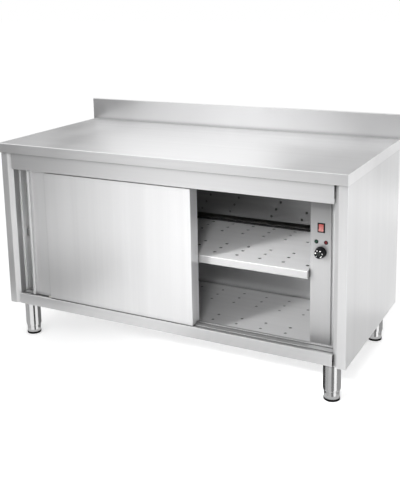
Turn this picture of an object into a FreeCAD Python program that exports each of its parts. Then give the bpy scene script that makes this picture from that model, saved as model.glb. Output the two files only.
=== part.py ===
# Plate warmer cabinet: a folded stainless steel cabinet on four levelling legs, with a worktop and
# upstand, two doors that slide past each other, a perforated shelf and a heated air circuit.
# Millimetres. +X to the right, +Y to the back, +Z up; the origin is on the floor under the middle.
import FreeCAD
import Part
import math
import os

os.makedirs("parts", exist_ok=True)

# Driving sizes of the whole cabinet
width = 1500
depth = 700
worktop_height = 850
worktop_thickness = 40
upstand_height = 100
upstand_thickness = 12
floor_clearance = 150

# How far the body stands back under the worktop
front_setback = 10
side_setback = 2
rear_setback = 4

# Sheets, bends and fits
top_sheet = 1.5
sheet = 1.2
bend = 1.2
seat_gap = 0.3
running_fit = 0.06
overrun = 2

# Worktop lips and core board
top_lip = 18
board_thickness = 16
board_margin = 45

# Front pillars, folded from the side panels
pillar_face = 32
pillar_slant_width = 18
pillar_slant_depth = 13.5
pillar_return = 30
panel_flange = 22
pan_lip = 5
flange_margin = 4

# Walls of the heated room
room_recess = 8
insulation_thickness = 25
room_depth_share = 0.783
machine_room_width = 170
deck_rise = 11
ceiling_rise = 8
liner_fold_gap = 1.5
liner_fold_slant = 11

# Door rails
rail_setback = 3
bottom_rail_height = 46
bottom_rail_lip = 5
top_rail_gap = 5
top_rail_return = 5
top_rail_flange = 26

# Doors
door_thickness = 30
door_overlap = 148
door_floor_gap = 2
door_hang = 22
door_front_depth = 20
door_spacing = 4
door_side_gap = 1
left_door_open_share = 0.1075
right_door_open_share = 0.9
grip_width = 93
grip_depth = 13
grip_lip = 10

# Hangers and rollers
roller_radius = 15
roller_width = 8
roller_groove = 1.5
roller_groove_width = 2.6
roller_headroom = 9.3
roller_inset_share = 0.16
hanger_width = 46
hanger_thickness = 3
axle_radius = 3
axle_head_radius = 5
axle_head = 1.5
hanger_foot = 8
hanger_below_axle = 9
track_web_gap = 2.5
track_lip = 5
track_roof_drop = 10
track_roof_overlap = 20
lip_gap = 2.5

# Guides under the doors
guide_width = 8
guide_length = 40
guide_drop = 9
guide_corner = 2.6
guide_clearance = 0.5
guide_inset_share = 0.12
groove_depth = 12
track_rear_margin = 4

# Shelf
shelf_height = 459
shelf_front = 92
shelf_flange = 30
shelf_rear_gap = 6
shelf_end_gap = 2
shelf_hem = 12
support_height = 24
support_width = 20

# Perforation, in groups of three
hole_diameter = 12
hole_step = 54
group_rows = 3
shelf_columns = 14
deck_columns = 13
column_margin = 20
shelf_front_group = 60
shelf_rear_group = 137
deck_front_group = 43
deck_rear_group = 168

# Back wall of the room
slot_rise = 3
slot_height = 24
duct_flange = 14
duct_hole_step_x = 21.5
duct_hole_step_z = 33
duct_group_height = 52
duct_group_shares = (0.084, 0.238, 0.344, 0.499, 0.6055, 0.758, 0.865)

# Control column and jamb
column_width = 78
column_depth = 117
column_flange = 60
column_step = 9
jamb_overlap = 8
control_x = 41

# Controls
switch_width = 27
switch_height = 35
switch_drop = 190
switch_body_depth = 22
bezel_border = 3
bezel_proud = 2.5
rocker_proud = 4
rocker_tilt = 8
rocker_pivot_radius = 1.5
rocker_pivot_reach = 0.8
lamp_radius = 6
lamp_proud = 3.5
lamp_stem_radius = 4.5
lamp_stem = 24
lamp_spread = 18
lamp_drop = 243
knob_radius = 21
knob_top_radius = 17
knob_depth = 24
knob_drop = 280
knob_flutes = 12
flute_radius = 3.2
flute_start = 8
knob_gap = 3
shaft_radius = 3
shaft_length = 20
thermostat_size = 36
thermostat_depth = 30
bush_radius = 5

# Hot air unit
intake_rings = 3
intake_ring_holes = 6
intake_ring_step = 18
intake_hole = 9
fan_size = 150
fan_depth = 38
fan_bore_radius = 69
fan_corner = 5
impeller_radius = 65
impeller_hub_radius = 26
impeller_width = 26
impeller_blades = 7
blade_root = 2
blade_thickness = 3
blade_pitch = 32
motor_radius = 24
motor_length = 10
motor_shaft_radius = 3
motor_shaft_setback = 2
strut_count = 4
strut_root = 2
strut_width = 8
strut_thickness = 5
divider_depth = 270
heater_tube_radius = 4
heater_loop_width = 44
heater_loops = 3
heater_reach = 190
heater_flange = 5
heater_flange_margin = 16
heater_rise = 185
heater_from_wall = 100

# Electrical connection
terminal_length = 70
terminal_width = 24
terminal_height = 18
terminal_ways = 5
terminal_way_radius = 4
terminal_way_depth = 9
gland_radius = 12
gland_bore_radius = 5
gland_drop = 22
gland_nut = 6
gland_flange = 3
gland_taper = 2
gland_side_inset = 90
gland_back_inset = 140

# Legs and feet
leg_inset = 70
leg_radius = 32.5
leg_wall = 1.5
leg_bottom = 37
leg_taper_height = 8
leg_taper = 2
leg_cap = 4
foot_radius = 29
foot_wall = 3
foot_engagement = 60
glide_height = 5
glide_radius = 30
glide_edge = 1.25
leg_collar_height = 18
spindle_radius = 8
leg_pad_radius = 14
leg_plate = 26
leg_plate_thickness = 4
leg_bolt_radius = 5
leg_nut_height = 6
leg_nut_radius = 9.5
leg_nut_sides = 6
leg_stud_proud = 2

# Fasteners
rivet_radius = 2
rivet_head_radius = 3.6
rivet_head = 1.3
rivet_length = 2.6
rivet_margin = 30
rivet_rows = 3

# Places worked out from the driving sizes
half_width = width / 2
front = -depth / 2
back = depth / 2
top_underside = worktop_height - worktop_thickness
side_out = half_width - side_setback
side_in = side_out - sheet
body_front = front + front_setback
body_back = back - rear_setback
pillar_in = side_out - pillar_face - pillar_slant_width
wall_in = pillar_in + room_recess
room_rear = front + depth * room_depth_share
room_right = side_out - machine_room_width
rail_front = body_front + rail_setback
deck_top = floor_clearance + deck_rise
opening_half = pillar_in
door_width = opening_half - door_side_gap + door_overlap / 2
door_travel = 2 * (opening_half - door_side_gap) - door_width
left_door_front = front + door_front_depth
right_door_front = left_door_front + door_thickness + door_spacing
right_door_back = right_door_front + door_thickness
left_door_x = -opening_half + door_side_gap + left_door_open_share * door_travel
right_door_x = opening_half - door_side_gap - right_door_open_share * door_travel - door_width
column_front = front + column_depth
column_left = room_right - sheet
column_right = column_left + column_width
control_centre = column_left + control_x
room_edge = column_left - seat_gap
shelf_left = -wall_in + shelf_end_gap
shelf_right = column_left - shelf_end_gap
shelf_front_y = front + shelf_front
shelf_rear_y = room_rear - shelf_rear_gap
pan_top = floor_clearance + 2 * sheet
inner_floor = pan_top + seat_gap
inner_top = top_underside - sheet - seat_gap
rear_face = body_back - 2 * sheet
pillar_end = body_front + pillar_slant_depth + pillar_return
jamb_front = column_front + column_step
track_roof_height = top_underside - track_roof_drop
axle_height = track_roof_height - sheet - roller_headroom - roller_radius
track_ledge_height = axle_height - roller_radius - seat_gap - sheet
door_top = track_ledge_height - door_hang
door_bottom = floor_clearance + bottom_rail_height + door_floor_gap
top_rail_bottom = door_top + top_rail_gap
room_ceiling = door_top + ceiling_rise
slot_bottom = shelf_height + slot_rise
switch_centre_height = top_underside - switch_drop
lamp_height = top_underside - lamp_drop
knob_height = top_underside - knob_drop
intake_height = (deck_top + shelf_height - shelf_flange) / 2
heater_height = deck_top + heater_rise
gland_x = half_width - gland_side_inset
gland_y = back - gland_back_inset


def point(x, y, z):
    return FreeCAD.Vector(x, y, z)


def block(x0, x1, y0, y1, z0, z1):
    """Box between two corners."""
    return Part.makeBox(x1 - x0, y1 - y0, z1 - z0, point(x0, y0, z0))


def rod(radius, start, end):
    """Round bar between two points."""
    line = end - start
    return Part.makeCylinder(radius, line.Length, start, line)


def ring(outer, inner, start, end):
    """Round tube between two points."""
    line = end - start
    cut = line.normalize() * overrun
    return rod(outer, start, end).cut(rod(inner, start - cut, end + cut))


def turned(outline, x, y):
    """Solid turned about an upright axis; the outline holds radius and height pairs."""
    corners = [point(radius, 0, height) for radius, height in outline]
    face = Part.Face(Part.makePolygon(corners + corners[:1]))
    solid = face.revolve(point(0, 0, 0), point(0, 0, 1), 360)
    solid.translate(point(x, y, 0))
    return solid


def joined(pieces):
    """One solid out of pieces that meet."""
    whole = pieces[0].fuse(pieces[1:])
    return whole.removeSplitter()


def lifted(plane, u, v):
    """Place of a drawing point in the drawing's own plane."""
    if plane == "xy":
        return point(u, v, 0)
    if plane == "yz":
        return point(0, u, v)
    return point(u, 0, v)


def bent_edges(path, wall, radius, side, reach, plane):
    """One face of a bent sheet as straight runs joined by bend arcs, reach away from its path."""
    edges = []
    corners = [FreeCAD.Vector(u, v, 0) for u, v in path]
    heading = (corners[1] - corners[0]).normalize()
    normal = FreeCAD.Vector(-heading.y, heading.x, 0)
    start = corners[0] + normal * reach
    for before, corner, after in zip(corners, corners[1:], corners[2:]):
        heading = (corner - before).normalize()
        onward = (after - corner).normalize()
        turn = 1 if heading.x * onward.y - heading.y * onward.x > 0 else -1
        angle = heading.getAngle(onward)
        own_radius = radius + wall if turn == side else radius
        cut = own_radius * math.tan(angle / 2)
        normal = FreeCAD.Vector(-heading.y, heading.x, 0)
        next_normal = FreeCAD.Vector(-onward.y, onward.x, 0)
        centre = corner - heading * cut + normal * (turn * own_radius)
        first = corner - heading * cut + normal * reach
        last = corner + onward * cut + next_normal * reach
        middle = centre + (corner - centre).normalize() * (own_radius - reach * turn)
        spots = [lifted(plane, spot.x, spot.y) for spot in (start, first, middle, last)]
        edges.append(Part.makeLine(spots[0], spots[1]))
        edges.append(Part.Arc(spots[1], spots[2], spots[3]).toShape())
        start = last
        normal = next_normal
    end = corners[-1] + normal * reach
    edges.append(Part.makeLine(lifted(plane, start.x, start.y), lifted(plane, end.x, end.y)))
    return edges


def bent_sheet(path, plane, low, high, side=1, wall=sheet):
    """Folded sheet: its outline drawn in a plane and run from low to high square to it.

    The path is one face of the sheet, and the wall lies to its left where side is 1."""
    near = bent_edges(path, wall, bend, side, 0, plane)
    far = bent_edges(path, wall, bend, side, side * wall, plane)
    first_end = Part.makeLine(near[0].Vertexes[0].Point, far[0].Vertexes[0].Point)
    last_end = Part.makeLine(near[-1].Vertexes[-1].Point, far[-1].Vertexes[-1].Point)
    outline = Part.Wire(Part.__sortEdges__(near + [last_end] + far + [first_end]))
    run = {"xy": point(0, 0, 1), "yz": point(1, 0, 0), "xz": point(0, 1, 0)}[plane]
    face = Part.Face(outline)
    face.translate(run * low)
    return face.extrude(run * (high - low))


def perforate(plate, spots, diameter, top):
    """Round holes straight down through a level sheet."""
    tools = []
    for x, y in spots:
        tools.append(rod(diameter / 2, point(x, y, top - sheet - overrun), point(x, y, top + overrun)))
    return plate.cut(Part.makeCompound(tools))


def column_spots(low, high, columns, front_row, rear_row):
    """Places of the groups of three holes: one group near the front and one near the back."""
    step = (high - low - 2 * column_margin) / (columns - 1)
    spots = []
    for column in range(columns):
        x = low + column_margin + column * step
        for row in range(group_rows):
            spots.append((x, front_row + row * hole_step))
            spots.append((x, rear_row + row * hole_step))
    return spots


def save(name, shape):
    """Write one sub-part."""
    pieces = shape.Solids
    if len(pieces) == 1:
        shape = pieces[0]
    shape.exportStep("parts/" + name + ".step")
    print(name, len(pieces), "solid" if shape.isValid() else "not valid")


def group(shapes):
    return Part.makeCompound(shapes)


def make_worktop():
    """Folded top with a double-skinned upstand, turned-down edges and inward lips."""
    skirt_bottom = top_underside
    upstand_front = back - upstand_thickness
    upstand_top = worktop_height + upstand_height
    path = [
        (front + top_lip, skirt_bottom),
        (front, skirt_bottom),
        (front, worktop_height),
        (upstand_front, worktop_height),
        (upstand_front, upstand_top),
        (back, upstand_top),
        (back, skirt_bottom),
        (back - top_lip, skirt_bottom),
    ]
    folded = bent_sheet(path, "yz", -half_width, half_width, side=-1, wall=top_sheet)
    pieces = [folded]
    for hand in (-1, 1):
        outer = hand * half_width
        inner = hand * (half_width - top_sheet)
        x0, x1 = min(outer, inner), max(outer, inner)
        pieces.append(block(x0, x1, front + top_sheet, back - top_sheet,
                            skirt_bottom, worktop_height - top_sheet))
        pieces.append(block(x0, x1, upstand_front + top_sheet, back - top_sheet,
                            worktop_height - top_sheet, upstand_top - top_sheet))
        lip_end = hand * (half_width - top_lip)
        pieces.append(block(min(outer, lip_end), max(outer, lip_end), front + top_lip, back - top_lip,
                            skirt_bottom, skirt_bottom + top_sheet))
    save("worktop", joined(pieces))
    board_top = worktop_height - top_sheet
    board = block(-half_width + board_margin, half_width - board_margin, front + board_margin,
                  upstand_front - board_margin, board_top - board_thickness, board_top)
    save("worktop_board", board)


def make_side_panels():
    """Outer sides: each is one sheet folded into the front pillar and a rear flange."""
    slant_y = body_front + pillar_slant_depth
    for name, hand in (("left_side_panel", -1), ("right_side_panel", 1)):
        path = [
            (hand * (side_out - panel_flange), body_back),
            (hand * side_out, body_back),
            (hand * side_out, body_front),
            (hand * (side_out - pillar_face), body_front),
            (hand * pillar_in, slant_y),
            (hand * pillar_in, slant_y + pillar_return),
        ]
        panel = bent_sheet(path, "xy", floor_clearance, top_underside, side=-hand)
        reach_in = side_in - panel_flange
        low_y = body_front + pillar_slant_depth + pillar_return + flange_margin
        high_y = body_back - sheet - flange_margin
        flanges = []
        for z in (floor_clearance, top_underside - sheet):
            x0, x1 = sorted((hand * side_in, hand * reach_in))
            flanges.append(block(x0, x1, low_y, high_y, z, z + sheet))
        save(name, joined([panel] + flanges).cut(Part.makeCompound(rivet_holes())))


def make_base():
    """Pan under the body, the perforated floor of the room and the stiffening plates over the legs."""
    pan_left = -side_in + flange_margin
    pan_right = side_in - flange_margin
    pan_front = pillar_end + seat_gap
    pan_back = rear_face - seat_gap
    pan_level = floor_clearance + sheet
    inner_path = [
        (pan_front, pan_level + pan_lip),
        (pan_front, pan_level),
        (pan_back, pan_level),
        (pan_back, pan_level + panel_flange),
    ]
    pan = bent_sheet(inner_path, "yz", pan_left, pan_right)
    pan = pan.cut(rod(gland_radius + seat_gap, point(gland_x, gland_y, floor_clearance),
                      point(gland_x, gland_y, deck_top)))
    for x, y in leg_places():
        pan = pan.cut(rod(leg_bolt_radius + seat_gap, point(x, y, floor_clearance), point(x, y, deck_top)))
    save("base_pan", pan)
    deck_front = right_door_back + track_rear_margin + seat_gap
    deck_rear = room_rear - seat_gap
    path = [
        (deck_front, inner_floor + leg_plate_thickness),
        (deck_front, deck_top),
        (deck_rear, deck_top),
        (deck_rear, inner_floor),
    ]
    deck = bent_sheet(path, "yz", -wall_in + seat_gap, room_edge, side=-1)
    spots = column_spots(-wall_in, room_right, deck_columns, deck_front + deck_front_group,
                         room_rear - deck_rear_group)
    save("bottom_deck", perforate(deck, spots, hole_diameter, deck_top))


def leg_places():
    """Centres of the four legs."""
    places = []
    for x in (-half_width + leg_inset, half_width - leg_inset):
        for y in (front + leg_inset, back - leg_inset):
            places.append((x, y))
    return places


def make_door_rails():
    """Front rails: the channel under the doors, its grooved guide track, the fascia and the roller track."""
    rail_end = pillar_in - seat_gap
    rail_top = floor_clearance + bottom_rail_height
    path = [
        (pillar_end, floor_clearance),
        (rail_front, floor_clearance),
        (rail_front, rail_top),
        (rail_front + bottom_rail_lip, rail_top),
    ]
    save("bottom_rail", bent_sheet(path, "yz", -rail_end, rail_end, side=-1))
    track_top = rail_top - sheet
    track_low = track_top - groove_depth
    path = [(rail_front + sheet + bend, track_top)]
    half_groove = guide_width / 2 + guide_clearance
    for door_front in (left_door_front, right_door_front):
        middle = door_front + door_thickness / 2
        path.append((middle - half_groove, track_top))
        path.append((middle - half_groove, track_low))
        path.append((middle + half_groove, track_low))
        path.append((middle + half_groove, track_top))
    path.append((right_door_back + track_rear_margin, track_top))
    path.append((right_door_back + track_rear_margin, inner_floor + leg_plate_thickness))
    save("bottom_track", bent_sheet(path, "yz", -rail_end, rail_end, side=-1))
    path = [
        (rail_front + top_rail_return, top_rail_bottom),
        (rail_front, top_rail_bottom),
        (rail_front, top_underside),
        (rail_front + top_rail_flange, top_underside),
    ]
    save("top_rail", bent_sheet(path, "yz", -rail_end, rail_end, side=-1))
    pieces = []
    for door_front in (left_door_front, right_door_front):
        path = [
            (web_front(door_front), track_roof_height),
            (web_front(door_front), track_ledge_height),
            (lip_rear(door_front), track_ledge_height),
            (lip_rear(door_front), track_ledge_height + track_lip),
        ]
        pieces.append(bent_sheet(path, "yz", -rail_end, rail_end))
    roof_front = web_front(left_door_front)
    roof_back = right_door_back + track_roof_overlap
    roof = block(-rail_end, rail_end, roof_front, roof_back, track_roof_height - sheet, track_roof_height)
    save("top_track", joined(pieces + [roof]))


def roller_front(door_front):
    """Front face of the rollers that carry a door."""
    return door_front + track_web_gap


def web_front(door_front):
    return roller_front(door_front) - track_web_gap - sheet


def lip_rear(door_front):
    return roller_front(door_front) + roller_width + lip_gap + sheet


def make_room():
    """Sheets that close the heated room and the insulation behind them."""
    liner_front = pillar_end + seat_gap + sheet + bend + seat_gap
    fold_x = -pillar_in - liner_fold_gap
    fold_rear = right_door_back + track_rear_margin - bend
    liner_path = [
        (-side_in + seat_gap, liner_front),
        (-wall_in, liner_front),
        (fold_x, liner_front + liner_fold_slant),
        (fold_x, fold_rear),
        (-wall_in, fold_rear),
        (-wall_in, room_rear - seat_gap),
    ]
    save("left_liner", bent_sheet(liner_path, "xy", inner_floor, inner_top, side=1))
    wool_low = inner_floor + panel_flange
    wool_high = inner_top - panel_flange
    wool_back = rear_face - insulation_thickness - seat_gap
    side_wool = block(-side_in + seat_gap, -side_in + seat_gap + insulation_thickness,
                      liner_front + sheet + seat_gap, wool_back - seat_gap, wool_low, wool_high)
    wool_half = side_in - seat_gap
    rear_wool = block(-wool_half, wool_half, wool_back, wool_back + insulation_thickness, wool_low, wool_high)
    save("insulation", group([side_wool, rear_wool]))
    rear_half = side_in - bend - seat_gap
    panel = block(-rear_half, rear_half, rear_face, rear_face + sheet, floor_clearance, inner_top)
    save("rear_panel", panel.cut(Part.makeCompound(rivet_holes())))
    ceiling_front = right_door_back + track_roof_overlap
    ceiling_path = [
        (ceiling_front + seat_gap, track_roof_height),
        (ceiling_front + seat_gap, room_ceiling),
        (room_rear - seat_gap, room_ceiling),
    ]
    save("ceiling_panel", bent_sheet(ceiling_path, "yz", -wall_in + seat_gap, room_edge))
    slot_top = slot_bottom + slot_height
    path = [
        (room_rear + duct_flange, slot_top),
        (room_rear, slot_top),
        (room_rear, inner_top),
    ]
    upper = bent_sheet(path, "yz", -wall_in, room_edge, side=-1)
    upper = upper.cut(Part.makeCompound(duct_holes(slot_top)))
    save("upper_duct_panel", upper)
    path = [
        (room_rear + duct_flange, slot_bottom),
        (room_rear, slot_bottom),
        (room_rear, inner_floor),
    ]
    save("lower_back_wall", bent_sheet(path, "yz", -wall_in, room_edge, side=1))


def duct_holes(slot_top):
    """Cutters for the slanted groups of three holes in the upper back wall."""
    tools = []
    for share in duct_group_shares:
        middle_x = -wall_in + share * (room_right + wall_in)
        for place in (-1, 0, 1):
            x = middle_x + place * duct_hole_step_x
            z = slot_top + duct_group_height + place * duct_hole_step_z
            tools.append(rod(hole_diameter / 2, point(x, room_rear - overrun, z),
                             point(x, room_rear + overrun, z)))
    return tools


def make_shelf():
    """Perforated shelf with turned-down edges, and the angles that carry it."""
    flange_bottom = shelf_height - shelf_flange
    path = [
        (shelf_front_y + shelf_hem, flange_bottom),
        (shelf_front_y, flange_bottom),
        (shelf_front_y, shelf_height),
        (shelf_rear_y, shelf_height),
        (shelf_rear_y, flange_bottom),
    ]
    tray = bent_sheet(path, "yz", shelf_left, shelf_right, side=-1)
    pieces = [tray]
    for x in (shelf_left, shelf_right - sheet):
        pieces.append(block(x, x + sheet, shelf_front_y + sheet, shelf_rear_y - sheet, flange_bottom,
                            shelf_height - sheet))
    spots = column_spots(shelf_left, shelf_right, shelf_columns, shelf_front_y + shelf_front_group,
                         room_rear - shelf_rear_group)
    save("shelf", perforate(joined(pieces), spots, hole_diameter, shelf_height))
    seat = flange_bottom - seat_gap
    low_y = shelf_front_y + support_width
    high_y = shelf_rear_y - support_width
    path = [
        (-wall_in, seat - support_height),
        (-wall_in, seat),
        (-wall_in + support_width, seat),
    ]
    left = bent_sheet(path, "xz", low_y, high_y, side=-1)
    right_start = column_front + column_flange + seat_gap
    path = [
        (room_right, seat - support_height),
        (room_right, seat),
        (room_right - support_width, seat),
    ]
    right = bent_sheet(path, "xz", right_start, high_y, side=1)
    save("shelf_supports", group([left, right]))


def make_column():
    """Control column at the right, its jamb, and the compartment walls behind it."""
    face_end = jamb_front - seat_gap
    path = [
        (column_left, column_front + column_flange),
        (column_left, column_front),
        (column_right, column_front),
        (column_right, face_end),
    ]
    fascia = bent_sheet(path, "xy", inner_floor, inner_top)
    fascia = fascia.cut(Part.makeCompound(control_holes()))
    save("control_fascia", fascia)
    path = [
        (pillar_in, pillar_end + seat_gap),
        (pillar_in, jamb_front),
        (column_right - jamb_overlap, jamb_front),
    ]
    jamb_low = inner_floor + pan_lip
    save("right_jamb", bent_sheet(path, "xy", jamb_low, inner_top, side=-1))
    wall = block(room_right, room_right + sheet, column_front + sheet + bend, room_rear - seat_gap,
                 inner_floor, inner_top)
    fan_y = fan_centre_y()
    tools = []
    for number in range(intake_rings):
        radius = number * intake_ring_step
        for step in range(max(1, intake_ring_holes * number)):
            angle = 2 * math.pi * step / max(1, intake_ring_holes * number)
            y = fan_y + radius * math.cos(angle)
            z = intake_height + radius * math.sin(angle)
            tools.append(rod(intake_hole / 2, point(room_right - overrun, y, z),
                             point(room_right + overrun, y, z)))
    save("compartment_wall", wall.cut(Part.makeCompound(tools)))
    divider_y = front + divider_depth
    divider = block(room_right + sheet + seat_gap, side_in - seat_gap, divider_y, divider_y + sheet,
                    inner_floor, inner_top)
    tools = []
    for x, z in heater_ends():
        tools.append(rod(heater_tube_radius + seat_gap, point(x, divider_y - overrun, z),
                         point(x, divider_y + overrun, z)))
    save("compartment_divider", divider.cut(Part.makeCompound(tools)))


def control_holes():
    """Cutters for the switch, the lamps and the thermostat bush in the fascia."""
    y0 = column_front - overrun
    y1 = column_front + overrun
    half_w = switch_width / 2 - bezel_border + seat_gap
    half_h = switch_height / 2 - bezel_border + seat_gap
    tools = [block(control_centre - half_w, control_centre + half_w, y0, y1,
                   switch_centre_height - half_h, switch_centre_height + half_h)]
    for hand in (-1, 1):
        x = control_centre + hand * lamp_spread
        tools.append(rod(lamp_stem_radius + seat_gap, point(x, y0, lamp_height), point(x, y1, lamp_height)))
    tools.append(rod(bush_radius + seat_gap, point(control_centre, y0, knob_height),
                     point(control_centre, y1, knob_height)))
    return tools


def fan_centre_y():
    """The fan stands midway between the divider and the back of the room."""
    return (front + divider_depth + room_rear) / 2


def heater_ends():
    """Places where the heater's legs pass the divider."""
    x = room_right + heater_from_wall
    ends = []
    for loop in range(heater_loops):
        low = heater_height + 2 * loop * heater_loop_width
        ends.append((x, low))
        ends.append((x, low + heater_loop_width))
    return ends


def tilted(shape, degrees, centre):
    """A piece turned about a crosswise axis."""
    shape = shape.copy()
    shape.rotate(centre, point(1, 0, 0), degrees)
    return shape


def make_controls():
    """Rocker switch, lamps and thermostat."""
    z = switch_centre_height
    half_w = switch_width / 2
    half_h = switch_height / 2
    bezel = block(control_centre - half_w, control_centre + half_w, column_front - bezel_proud, column_front,
                  z - half_h, z + half_h)
    shell_w = half_w - bezel_border
    shell_h = half_h - bezel_border
    housing = block(control_centre - shell_w, control_centre + shell_w, column_front,
                    column_front + switch_body_depth, z - shell_h, z + shell_h)
    mouth_w = shell_w - sheet
    mouth_h = shell_h - sheet
    mouth = block(control_centre - mouth_w, control_centre + mouth_w, column_front - bezel_proud - overrun,
                  column_front + switch_body_depth - bezel_border, z - mouth_h, z + mouth_h)
    front_edges = [edge for edge in bezel.Edges
                   if all(abs(corner.Y - column_front + bezel_proud) < seat_gap for corner in edge.Vertexes)]
    bezel = bezel.makeFillet(bezel_proud / 2, front_edges)
    seat_end = point(mouth_w + rocker_pivot_reach + running_fit, 0, 0)
    pivot = point(control_centre, column_front, z)
    seat = rod(rocker_pivot_radius + running_fit, pivot - seat_end, pivot + seat_end)
    save("switch_bezel", bezel.fuse(housing).cut([mouth, seat]).removeSplitter())
    rocker_w = mouth_w - seat_gap
    rocker_h = mouth_h - 2 * seat_gap
    outline = [
        point(0, -rocker_proud, rocker_h),
        point(0, -bezel_proud, 0),
        point(0, -rocker_proud, -rocker_h),
        point(0, rocker_proud, -rocker_h / 2),
        point(0, rocker_proud, rocker_h / 2),
    ]
    rocker = Part.Face(Part.makePolygon(outline + outline[:1])).extrude(point(2 * rocker_w, 0, 0))
    rocker.translate(point(control_centre - rocker_w, column_front, z))
    pin_end = point(mouth_w + rocker_pivot_reach, 0, 0)
    rocker = joined([rocker, rod(rocker_pivot_radius, pivot - pin_end, pivot + pin_end)])
    save("switch_rocker", tilted(rocker, -rocker_tilt, pivot))
    for name, hand in (("green_lamp", -1), ("red_lamp", 1)):
        x = control_centre + hand * lamp_spread
        centre = point(x, column_front, lamp_height)
        dome_radius = (lamp_radius ** 2 + lamp_proud ** 2) / (2 * lamp_proud)
        ball = Part.makeSphere(dome_radius, centre + point(0, dome_radius - lamp_proud, 0))
        slab = block(x - dome_radius, x + dome_radius, column_front - lamp_proud - overrun, column_front,
                     lamp_height - dome_radius, lamp_height + dome_radius)
        stem = rod(lamp_stem_radius, centre, centre + point(0, lamp_stem, 0))
        save(name, ball.common(slab).fuse(stem).removeSplitter())
    body_front_y = column_front + sheet + seat_gap
    half = thermostat_size / 2
    body = block(control_centre - half, control_centre + half, body_front_y, body_front_y + thermostat_depth,
                 knob_height - half, knob_height + half)
    shaft_start = point(control_centre, column_front - knob_gap - shaft_length / 2, knob_height)
    shaft_end = point(control_centre, body_front_y + shaft_length / 2, knob_height)
    bush = rod(bush_radius, point(control_centre, column_front - knob_gap / 2, knob_height), shaft_end)
    hole = rod(shaft_radius + running_fit, point(control_centre, column_front - knob_gap, knob_height),
               shaft_end + point(0, seat_gap, 0))
    save("thermostat", body.fuse(bush).cut(hole).removeSplitter())
    save("thermostat_shaft", rod(shaft_radius, shaft_start, shaft_end))
    knob_back = column_front - knob_gap
    knob_front = knob_back - knob_depth
    skirt = Part.makeCone(knob_radius, knob_top_radius, knob_depth,
                          point(control_centre, knob_back, knob_height), point(0, -1, 0))
    tools = [rod(shaft_radius + running_fit, point(control_centre, knob_back + overrun, knob_height),
                 shaft_start)]
    for flute in range(knob_flutes):
        angle = 2 * math.pi * flute / knob_flutes
        x = control_centre + (knob_radius + flute_radius / 2) * math.cos(angle)
        z = knob_height + (knob_radius + flute_radius / 2) * math.sin(angle)
        tools.append(rod(flute_radius, point(x, knob_back - flute_start, z),
                         point(x, knob_front - overrun, z)))
    save("thermostat_knob", skirt.cut(Part.makeCompound(tools)))


def make_hot_air_unit():
    """Axial fan on the compartment wall and the tubular heater beside it."""
    x0 = room_right + sheet + seat_gap
    x1 = x0 + fan_depth
    y = fan_centre_y()
    z = intake_height
    half = fan_size / 2
    frame = block(x0, x1, y - half, y + half, z - half, z + half)
    upright = [edge for edge in frame.Edges if abs(edge.Length - fan_depth) < seat_gap]
    frame = frame.makeFillet(fan_corner, upright)
    frame = frame.cut(rod(fan_bore_radius, point(x0 - overrun, y, z), point(x1 + overrun, y, z)))
    pieces = [frame]
    for number in range(strut_count):
        strut = block(x1 - strut_thickness, x1, y, y + fan_bore_radius + strut_root,
                      z - strut_width / 2, z + strut_width / 2)
        strut.rotate(point(x0, y, z), point(1, 0, 0), 360 * (number + 1 / 2) / strut_count)
        pieces.append(strut)
    motor_front = x1 - motor_length
    pieces.append(rod(motor_radius, point(motor_front, y, z), point(x1, y, z)))
    hub_front = motor_front - seat_gap - impeller_width
    shaft_front = hub_front + motor_shaft_setback
    pieces.append(rod(motor_shaft_radius, point(shaft_front, y, z), point(motor_front, y, z)))
    save("fan_frame", joined(pieces))
    hub = rod(impeller_hub_radius, point(hub_front, y, z), point(hub_front + impeller_width, y, z))
    blades = [hub]
    for number in range(impeller_blades):
        blade = block(-blade_thickness / 2, blade_thickness / 2, -impeller_width / 2 + blade_thickness,
                      impeller_width / 2 - blade_thickness, impeller_hub_radius - blade_root, impeller_radius)
        blade.rotate(point(0, 0, 0), point(0, 0, 1), 90 - blade_pitch)
        blade.translate(point(hub_front + impeller_width / 2, y, z))
        blade.rotate(point(x0, y, z), point(1, 0, 0), 360 * number / impeller_blades)
        blades.append(blade)
    wheel = joined(blades)
    bore = rod(motor_shaft_radius + running_fit, point(shaft_front - seat_gap, y, z), point(x1, y, z))
    save("fan_impeller", wheel.cut(bore))
    divider_y = front + divider_depth
    flange_y = divider_y + sheet + seat_gap
    x = room_right + heater_from_wall
    ends = heater_ends()
    low = ends[0][1] - heater_flange_margin
    high = ends[-1][1] + heater_flange_margin
    flange = block(x - heater_flange_margin, x + heater_flange_margin, flange_y, flange_y + heater_flange,
                   low, high)
    pieces = [flange]
    tail_y = divider_y - heater_flange_margin
    far = flange_y + heater_reach
    bend_radius = heater_loop_width / 2
    for loop in range(heater_loops):
        lower = ends[2 * loop][1]
        upper = ends[2 * loop + 1][1]
        out = Part.makeLine(point(x, tail_y, lower), point(x, far, lower))
        turn = Part.Arc(point(x, far, lower), point(x, far + bend_radius, lower + bend_radius),
                        point(x, far, upper)).toShape()
        home = Part.makeLine(point(x, far, upper), point(x, tail_y, upper))
        section = Part.Wire(Part.makeCircle(heater_tube_radius, point(x, tail_y, lower), point(0, 1, 0)))
        pieces.append(Part.Wire([out, turn, home]).makePipeShell([section], True, False))
    save("heating_element", joined(pieces))


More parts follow.
